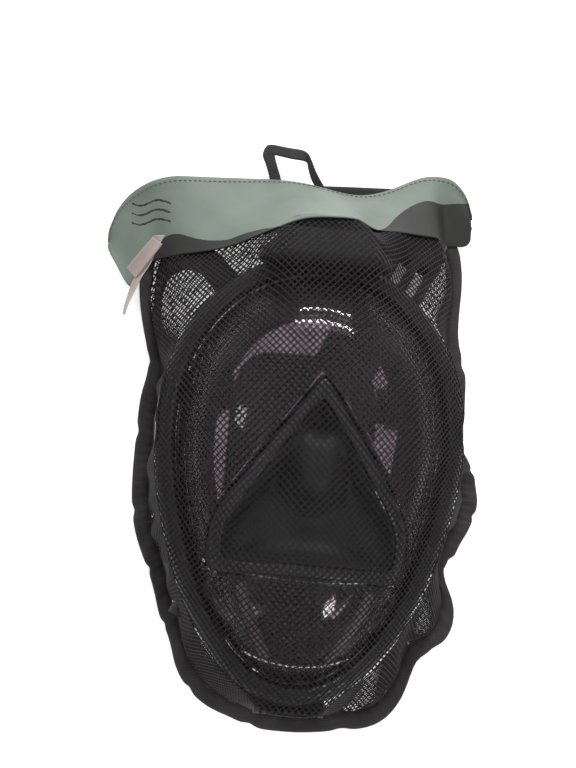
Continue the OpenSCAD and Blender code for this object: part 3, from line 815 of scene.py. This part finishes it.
def stitches(name, path, normals, length, space, radius, material):
    """Short threads laid along a path, each a six-sided bead pinched at its ends."""
    path = np.asarray(path, float)
    gaps = np.linalg.norm(np.diff(path, axis=0), axis=1)
    along = np.concatenate([[0], np.cumsum(gaps)])
    starts = np.arange(space, along[-1] - length, length + space)
    verts, faces = [], []
    for s in starts:
        places = [s + f * length for f in (0, 0.3, 0.7, 1)]
        ends = [np.array([np.interp(p, along, path[:, k]) for k in range(3)]) for p in places]
        up = np.array([np.interp(s, along, normals[:, k]) for k in range(3)])
        way = ends[3] - ends[0]
        way /= np.linalg.norm(way) + 1e-9
        side = np.cross(way, up)
        base = len(verts)
        for point, size, rise in zip(ends, (0.35, 1, 1, 0.35), (0.0, 0.8, 0.8, 0.0)):
            for a in range(6):
                angle = a * pi / 3
                round_it = cos(angle) * side + sin(angle) * up
                verts.append(point + up * rise * radius + radius * size * round_it)
        for ring in range(3):
            for a in range(6):
                b, low = (a + 1) % 6, base + ring * 6
                faces.append([low + a, low + b, low + 6 + b, low + 6 + a])
        faces.append([base + a for a in reversed(range(6))])
        faces.append([base + 18 + a for a in range(6)])
    piece(name, at_mask(verts), faces, material)


def catmull(points, at):
    """Points on the smooth curve through points, at the given places along it."""
    padded = np.concatenate([[2 * points[0] - points[1]], points, [2 * points[-1] - points[-2]]])
    k = np.clip(np.floor(at).astype(int), 0, len(points) - 2)
    f = (at - k)[:, None]
    p0, p1, p2, p3 = (padded[k + i] for i in range(4))
    return 0.5 * (2 * p1 + (p2 - p0) * f + (2 * p0 - 5 * p1 + 4 * p2 - p3) * f**2
                  + (3 * p1 - p0 - 3 * p2 + p3) * f**3)


def in_bag(points):
    """Points in the bag's own directions, turned into the mask's."""
    points = np.array(points, float)
    points[:, :2] = turned(points[:, :2], BAG_TURN)
    return points


def sides_of(line):
    """Unit directions to the left of a plane line, point by point."""
    along = np.gradient(line, axis=0)
    along /= np.linalg.norm(along, axis=1, keepdims=True)
    return np.stack([-along[:, 1], along[:, 0]], -1)


def edged_strip(name, edges, thick, cup, material, replaces):
    """A strip of cloth or webbing between two edges, (left, right) points in the bag's directions."""
    left, right = in_bag([e[0] for e in edges]), in_bag([e[1] for e in edges])
    at = np.linspace(0, len(edges) - 1, 10 * (len(edges) - 1) + 1)
    left, right = catmull(left, at), catmull(right, at)
    steps = np.linspace(0, 1, 9)[:, None, None]
    grid = left + (right - left) * steps
    du = right - left
    dv = np.gradient((left + right) / 2, axis=0)
    up = np.cross(du, dv)
    up /= np.linalg.norm(up, axis=1, keepdims=True) + 1e-9
    grid = grid + up * cup * (1 - (2 * steps - 1) ** 2)
    edge = np.sqrt(1 - 0.85 * np.abs(2 * steps - 1) ** 8)
    verts, faces = shell(grid + up * thick / 2 * edge, grid - up * thick / 2 * edge, around=False)
    obj = piece(name, at_mask(verts), faces, material, replaces)
    return obj, grid


LOOP_EDGES = [
    ((-17.3, 174, 3), (-10.3, 174.5, 3)), ((-18.6, 182, 4), (-11.2, 181, 4)),
    ((-20.8, 189, 6), (-13.3, 187.4, 6)), ((-23, 194.6, 7.5), (-15.4, 194.4, 7.5)),
    ((-21.8, 199.4, 8.3), (-15.2, 194.8, 8)), ((-18.1, 201.8, 8.5), (-14.6, 195, 8.3)),
    ((-7, 200, 9), (-5.6, 193, 8.6)), ((1.5, 198.8, 9), (2.4, 192, 8)),
    ((5.2, 196.6, 9.6), (5.4, 191, 6)), ((7.4, 192.4, 9.6), (6, 188.6, 4.6)),
    ((11, 184.8, 7.4), (8, 182, 3.4)), ((15.4, 178.4, 4.4), (10.4, 177.2, 3)),
    ((18.6, 174.2, 3), (12, 173.6, 3)),
]
LABEL_EDGES = [
    ((-91, 138.5, 21), (-84, 139, 22)), ((-92, 133, 18), (-87, 133.5, 21)),
    ((-93.6, 128.8, 14), (-89.6, 129.4, 20)), ((-96.6, 121, 11), (-92.6, 121.6, 18)),
    ((-103, 113.2, 9), (-97.6, 114, 15)), ((-106, 105.2, 5), (-101.6, 106, 12)),
    ((-108.4, 97.4, 2.4), (-105.4, 98, 10)), ((-109, 92, 1.4), (-107.4, 92.6, 9)),
]
FLAP_EDGES = [
    ((-91.6, 137.6, 22), (-85.6, 133, 22)), ((-97.4, 131, 19), (-91.4, 125.8, 19)),
    ((-102.4, 125.8, 15), (-96.8, 119.4, 15)), ((-107, 120.4, 10), (-101.6, 113.6, 11)),
]
LEAST_FLAT = 0.0101
LABEL_CLEAR = 1.6


def hang_loop():
    edged_strip("hang_loop_webbing", LOOP_EDGES, 1.3, 0.0, WEBBING, ("hang_loop",))


def label(name, edges, cup, replaces):
    """A satin label, kept clear of the net under it."""
    raised = []
    for pair in edges:
        flat = in_bag(pair)
        clear = [net_top(p[0], p[1]) for p in flat]
        raised.append(tuple((e[0], e[1], max(e[2], c + LABEL_CLEAR)) for e, c in zip(pair, clear)))
    obj, grid = edged_strip(name, raised, 0.3, cup, LABEL, replaces)
    width, length = sheet_size(grid)
    flat = (max(width, LEAST_FLAT), length)


def header_back():
    """The dark backing that shows behind the header's dip."""
    cols, rows = 90, 14
    x = np.linspace(-99, 107, cols)
    y0, y1 = 148.0, 177.5
    y = y0 + (y1 - y0) * np.linspace(0, 1, rows)
    ends = (1 - np.abs((x - 4) / 103) ** 14)[:, None]
    yy = y0 + (y[None, :] - y0) * ends ** (1 / 4)
    xx = np.repeat(x[:, None], rows, 1)
    z = 1.2 + 1.0 * smooth((yy - 166) / 12) * (1 + np.sin(xx / 15))
    spot = turned(np.stack([xx, yy], -1), BAG_TURN)
    top = np.concatenate([spot, z[..., None]], -1)
    bottom = top - np.array([0, 0, 0.9])
    verts, faces = shell(top, bottom, around=False)
    obj = piece("header_back_panel", at_mask(verts), faces, BACKING, ("header_back",))


# ---------------------------------------------------------------- mask pieces seen through the net
TURNS = np.linspace(0, 2 * pi, 192, endpoint=False)


def lens():
    levels = np.linspace(0, 1, 34) ** 0.8
    inner = nose_point(TURNS, 0)
    edge = mask_r(TURNS)[:, None] * np.stack([np.cos(TURNS), np.sin(TURNS)], -1)
    rows_top, rows_low = [], []
    for f in levels:
        p = inner + (edge - inner) * f
        z = lens_z(p[:, 0], p[:, 1])
        s = 1 - f * LENS_WALL / LENS_HALF_W
        rows_top.append(np.concatenate([p, z[:, None]], 1))
        rows_low.append(np.concatenate([p * s, z[:, None] - LENS_WALL], 1))
    verts, faces = shell(np.array(rows_top), np.array(rows_low))
    piece("visor_shell", at_mask(verts), faces, LENS, ("visor_lens",))


def ring(name, section, material, slot, replaces):
    """A closed ring round the mask. section lists (distance out from the lens edge, height)."""
    rows = []
    for out, z in section:
        r = mask_r(TURNS, out)
        rows.append(np.stack([r * np.cos(TURNS), r * np.sin(TURNS), np.full_like(r, z)], -1))
    rows = np.array(rows)
    piece(name, at_mask(rows), tube(rows), material, replaces)


def rounded_section(corners, radius, steps=4):
    """A closed outline with its corners rounded."""
    corners = np.array(corners, float)
    out = []
    for k, corner in enumerate(corners):
        before, after = corners[k - 1] - corner, corners[(k + 1) % len(corners)] - corner
        cut = min(radius, np.linalg.norm(before) / 2.2, np.linalg.norm(after) / 2.2)
        a = corner + before / np.linalg.norm(before) * cut
        b = corner + after / np.linalg.norm(after) * cut
        for f in np.linspace(0, 1, steps + 1):
            out.append((1 - f) ** 2 * a + 2 * f * (1 - f) * corner + f**2 * b)
    return out


def visor_ring():
    corners = [(1, 46), (1, 57), (3.2, 59), (5, 58.2), (9, 58), (13, 54), (13, 49), (10, 46)]
    ring("visor_ring", rounded_section(corners, 1.6), BLACK_PLASTIC, "black_plastic", ("visor_frame",))


def nose_pieces():
    """The nose pocket, a bump over two wells in a deep dish, and the smooth trim round it."""
    depth, bump = 19, (0.0, -8.0)
    inset = NOSE_TRIM_W + 0.4
    outline = nose_point(TURNS, inset)
    rows_top, rows_low = [], []
    for f in np.linspace(0.03, 1, 40):
        p = NOSE_MIDDLE + (outline - NOSE_MIDDLE) * f
        d = np.hypot((p[:, 0] - bump[0]) / 16, (p[:, 1] - bump[1]) / 22)
        wells = np.exp(-(((np.abs(p[:, 0]) - 25) / 9) ** 2) - ((p[:, 1] + 8) / 16) ** 2)
        dished = 1 + depth * (1 - f**5) + 7 * wells * (1 - f**6)
        z = lens_z(p[:, 0], p[:, 1]) - dished + (depth + 1) * np.exp(-(d**4))
        rows_top.append(np.concatenate([p, z[:, None]], 1))
        rows_low.append(np.concatenate([p, z[:, None] - 1.8], 1))
    verts, faces = shell(np.array(rows_top), np.array(rows_low), disc=True)
    piece("nose_pocket_skin", at_mask(verts), faces, BLACK_RUBBER, ("nose_pocket",))
    rows = []
    section = [(NOSE_TRIM_W, -2.6), (NOSE_TRIM_W, 0.9), (NOSE_TRIM_W - 1.6, 1.9), (2.4, 2.2), (0.6, 1.2),
               (0.6, -2.6)]
    for inset, rise in rounded_section(section, 0.9):
        p = nose_point(TURNS, inset)
        rows.append(np.concatenate([p, (lens_z(p[:, 0], p[:, 1]) + rise)[:, None]], 1))
    rows = np.array(rows)
    piece("nose_pocket_rim", at_mask(rows), tube(rows), BLACK_PLASTIC, ("nose_pocket_trim",))


def lens_line(name, points, width, rise, material):
    """A rounded bead along points on the lens."""
    points = np.array(points, float)
    at = np.linspace(0, len(points) - 1, 16 * (len(points) - 1) + 1)
    spine = catmull(points, at)
    across = sides_of(spine)
    taper = np.sqrt(np.clip(1 - np.abs(np.linspace(-1, 1, len(spine))) ** 10, 0.02, 1))
    rows_top, rows_low = [], []
    for s in np.linspace(-1, 1, 9):
        p = spine + across * (s * width / 2) * taper[:, None]
        z = lens_z(p[:, 0], p[:, 1])
        rows_top.append(np.concatenate([p, (z + rise * (1 - s * s) * taper - 0.15)[:, None]], 1))
        rows_low.append(np.concatenate([p, (z - 0.9)[:, None]], 1))
    verts, faces = shell(np.array(rows_top), np.array(rows_low), around=False)
    piece(name, at_mask(verts), faces, material)


def chin_wall_painted_reflection(name, points, depth):
    """A wall that hangs under the lens and guides the breath to the chin valve; its pale clear silicone is also a
    painted reflection, the light V shapes in the lower chamber.
    """
    points = np.array(points, float)
    at = np.linspace(0, len(points) - 1, 14 * (len(points) - 1) + 1)
    spine = catmull(points, at)
    across = sides_of(spine)
    rows = []
    for side in (-1, 1):
        for drop in (np.linspace(0, 1, 7) if side < 0 else np.linspace(1, 0, 7)):
            p = spine + across * side * (0.8 + 2.2 * (1 - drop) ** 3)
            z = lens_z(p[:, 0], p[:, 1]) - LENS_WALL - 0.2 - drop * depth
            rows.append(np.concatenate([p, z[:, None]], 1))
    rows = np.array(rows)
    cols = len(spine)
    faces = quads(len(rows), cols)
    n = len(rows) - 1
    faces += [[n * cols + j, n * cols + j + 1, j + 1, j] for j in range(cols - 1)]
    faces += [[i * cols for i in range(len(rows))], [i * cols + cols - 1 for i in reversed(range(len(rows)))]]
    piece(name, at_mask(rows), faces, CLEAR_SILICONE)


def chin_details():
    upper = [(-61, -62), (-44, -66.5), (-20, -69.5), (0, -70), (20, -69.5), (44, -66.5), (61, -62)]
    lens_line("visor_chin_bead", upper, 3.4, 1.5, LENS)
    lower = [(-33, -112), (-16, -116.5), (0, -118), (16, -116.5), (33, -112)]
    lens_line("visor_lower_bead", lower, 3, 1.2, LENS)
    for side, tag in ((-1, "left"), (1, "right")):
        wall = [(side * x, y) for x, y in ((36, -74), (31, -88), (24, -102), (17, -114))]
        wing = [(side * x, y) for x, y in ((55, -76), (47, -86), (38, -94))]
        # These pale walls and wings are partly real walls and partly a painted reflection: they give the light V
        # shapes under the lens.
        chin_wall_painted_reflection("chin_wall_painted_reflection_" + tag, wall, 9)
        chin_wall_painted_reflection("chin_wing_painted_reflection_" + tag, wing, 7)


STRAP_Z, STRAP_T, STRAP_W, STRAP_BEND = 3.2, 1.2, 22, 8
PAD_HALF_X, PAD_HALF_Y = 46, 66


def strap(name, x, y, side):
    """Ribbed elastic from the back pad out to its anchor, turned up beside the skirt."""
    line = [(PAD_HALF_X - 1.0, STRAP_Z + STRAP_T / 2)]
    line += [(px, STRAP_Z + STRAP_T / 2) for px in np.linspace(PAD_HALF_X + 2, x + STRAP_T - STRAP_BEND, 30)]
    middle = STRAP_BEND - STRAP_T / 2
    for a in np.linspace(-90, 0, 12)[1:]:
        bend = middle * cos(radians(a)), middle * sin(radians(a))
        line.append((x + STRAP_T - STRAP_BEND + bend[0], STRAP_Z + STRAP_BEND + bend[1]))
    line += [(x + STRAP_T / 2, z) for z in np.linspace(STRAP_Z + STRAP_BEND + 1, 42, 34)]
    line = np.array(line)
    along = np.gradient(line, axis=0)
    along /= np.linalg.norm(along, axis=1, keepdims=True)
    out = np.stack([along[:, 1], -along[:, 0]], -1)
    rows_top, rows_low = [], []
    for s in np.linspace(-1, 1, 45):
        ridge = 0.16 * cos(s * pi * 9) - 0.35 * max(0.0, abs(s) - 0.93) * 14
        half = STRAP_T / 2 - 0.2 + ridge
        for store, sign in ((rows_top, -1), (rows_low, 1)):
            p = line + out * half * sign
            store.append(np.stack([side * p[:, 0], np.full(len(p), y + s * STRAP_W / 2), p[:, 1]], -1))
    verts, faces = shell(np.array(rows_top), np.array(rows_low), around=False)
    piece("elastic_" + name, at_mask(verts), faces, ELASTIC, ("strap_" + name,))


SLACK = [(-44, 102, 36), (-57, 119, 32), (-72, 125, 25), (-86, 120, 18), (-93, 105, 13), (-93, 84, 12),
         (-85, 68, 17), (-73, 57, 28)]
SLACK_HALF_W, SLACK_HALF_T = 8.5, 0.55


def strap_slack():
    """The loose bight of head strap beside the forehead, pressed flat under the net."""
    at = np.linspace(0, len(SLACK) - 1, 12 * (len(SLACK) - 1) + 1)
    spine = catmull(in_bag(SLACK), at)
    across = sides_of(spine[:, :2])
    rows_top, rows_low = [], []
    for s in np.linspace(-1, 1, 33):
        flat = spine[:, :2] + across * s * SLACK_HALF_W
        angle = np.arctan2(flat[:, 1], flat[:, 0])
        r = np.hypot(flat[:, 0], flat[:, 1])
        r = np.minimum(r, rim_r(angle) - TAPE_W - 3)
        flat = np.stack([r * np.cos(angle), r * np.sin(angle)], -1)
        roof = np.array([net_top(*p) for p in flat]) - 2.2
        z = np.maximum(np.minimum(spine[:, 2] + 1.5 * s * np.sin(at * 1.3), roof), 2.8)
        ridge = 0.14 * cos(s * pi * 8)
        half = SLACK_HALF_T * (1 - 0.6 * abs(s) ** 10) + ridge
        rows_top.append(np.concatenate([flat, (z + half)[:, None]], 1))
        rows_low.append(np.concatenate([flat, (z - half)[:, None]], 1))
    verts, faces = shell(np.array(rows_top), np.array(rows_low), around=False)
    piece("elastic_slack_left", at_mask(verts), faces, ELASTIC)


def straps():
    for tag, side in (("left", -1), ("right", 1)):
        strap("upper_" + tag, 80, 42, side)
        strap("lower_" + tag, 71, -58, side)


def back_pad():
    """The harness's back pad: a thin quilted cushion with a bound edge and two sewn channels."""
    half_x, half_y = PAD_HALF_X, PAD_HALF_Y + 4
    rows = []
    outline = 1 / ((np.abs(np.cos(TURNS)) / half_x) ** 5 + (np.abs(np.sin(TURNS)) / half_y) ** 5) ** 0.2
    for f in np.linspace(0.02, 1, 44):
        p = outline[:, None] * f * np.stack([np.cos(TURNS), np.sin(TURNS)], -1)
        crown = 0.35 + 0.65 * (1 - f**6)
        seams = np.exp(-(((np.abs(p[:, 0]) - 18) / 1.3) ** 2)) + np.exp(-(((f - 0.93) / 0.014) ** 2))
        puff = crown * (1 - 0.75 * np.clip(seams, 0, 1))
        rows.append(np.concatenate([p, puff[:, None]], 1))
    rows = np.array(rows)
    top, low = rows.copy(), rows.copy()
    top[..., 2] = 3.0 + 1.5 * rows[..., 2]
    low[..., 2] = 3.0 - 1.4 * rows[..., 2]
    verts, faces = shell(top, low, disc=True)
    obj = piece("harness_back_pad", at_mask(verts), faces, PAD_CLOTH, ("strap_back_pad",))


def skirt():
    """The silicone skirt: a rolled seal lip, a bellows fold and the wall up to the frame."""
    seal = 14 + 20 * smooth(np.abs(np.sin(TURNS)) / 0.55)
    rows = [(0, 1.0), (-1.6, 0.86), (-4, 0.7), (-4.6, 0.55), (-6, 0.35), (-7.2, 0.2), (-9, 0.08), (-12, 0.01),
            (-15, 0.0), (-18.5, 0.04), (-21, 0.12), (-22.6, 0.2)]
    top_z = FRAME_Z - 0.2
    outer, inner = [], []
    for k, (out, share) in enumerate(rows):
        lip = 0.55 if k > 8 else 1.0
        for store, shift in ((outer, 0.0), (inner, -1.9 * lip)):
            r = mask_r(TURNS, out + (shift if k < 6 else 0.0))
            z = seal + (top_z - seal) * share + (0.0 if k < 6 else -shift)
            store.append(np.stack([r * np.cos(TURNS), r * np.sin(TURNS), np.minimum(z, top_z)], -1))
    verts, faces = shell(np.array(inner[::-1]), np.array(outer[::-1]))
    piece("face_skirt_skin", at_mask(verts), faces, SMOKE_SILICONE, ("face_skirt",))


def dress_cad():
    """Materials and slightly rounded edges for the CAD parts that show as they are."""
    looks = {
        SATIN_BLACK: ["socket_collar", "exhale_duct_left", "exhale_duct_right", "chin_bulkhead", "chin_valve_cover",
                      "chin_drain_cover", "snorkel_tube", "snorkel_base", "dry_top_cage", "dry_top_cap",
                      "strap_anchor_upper_left", "strap_anchor_upper_right", "strap_anchor_lower_left",
                      "strap_anchor_lower_right", "strap_slider_left", "strap_slider_right"],
        GREY_PLASTIC: ["snorkel_release_button", "chin_valve_seat", "inhale_valve_seat_left",
                       "inhale_valve_seat_right"],
        WHITE_PLASTIC: ["dry_top_float"],
        BLACK_RUBBER: ["socket_gasket", "lens_seal", "snorkel_base_seal", "dry_top_seal"],
        SMOKE_SILICONE: ["oronasal_cup"],
        CLEAR_SILICONE: ["inhale_valve_flap_left", "inhale_valve_flap_right", "chin_valve_flap"],
        PILE: ["closure_hook_strip", "closure_loop_strip"],
    }
    for material, names in looks.items():
        for name in names:
            NODES[name].data.materials.clear()
            NODES[name].data.materials.append(material)
            if name != "oronasal_cup":
                bevel = NODES[name].modifiers.new("edge", "BEVEL")
                bevel.width = 0.5 * MM
                bevel.segments = 2
                bevel.limit_method = "ANGLE"
                bevel.angle_limit = radians(40)


lens()
visor_ring()
nose_pieces()
softened("forehead_housing", "forehead_cover", 1.2, 8, SATIN_BLACK)
chin_details()
straps()
strap_slack()
back_pad()
skirt()
front_net()
back_net()
bottom_gusset()
edge_tape()
header_top, header_normal = header_front()
header_back()
hang_loop()
label("care_label_strip", LABEL_EDGES, 0.5, ("care_label",))
label("care_label_cover", FLAP_EDGES, 0.6, ("care_label_flap",))
stitches("header_top_stitch", header_top[:, -4], header_normal[:, -4], 2.2, 0.9, 0.32, THREAD)
dress_cad()
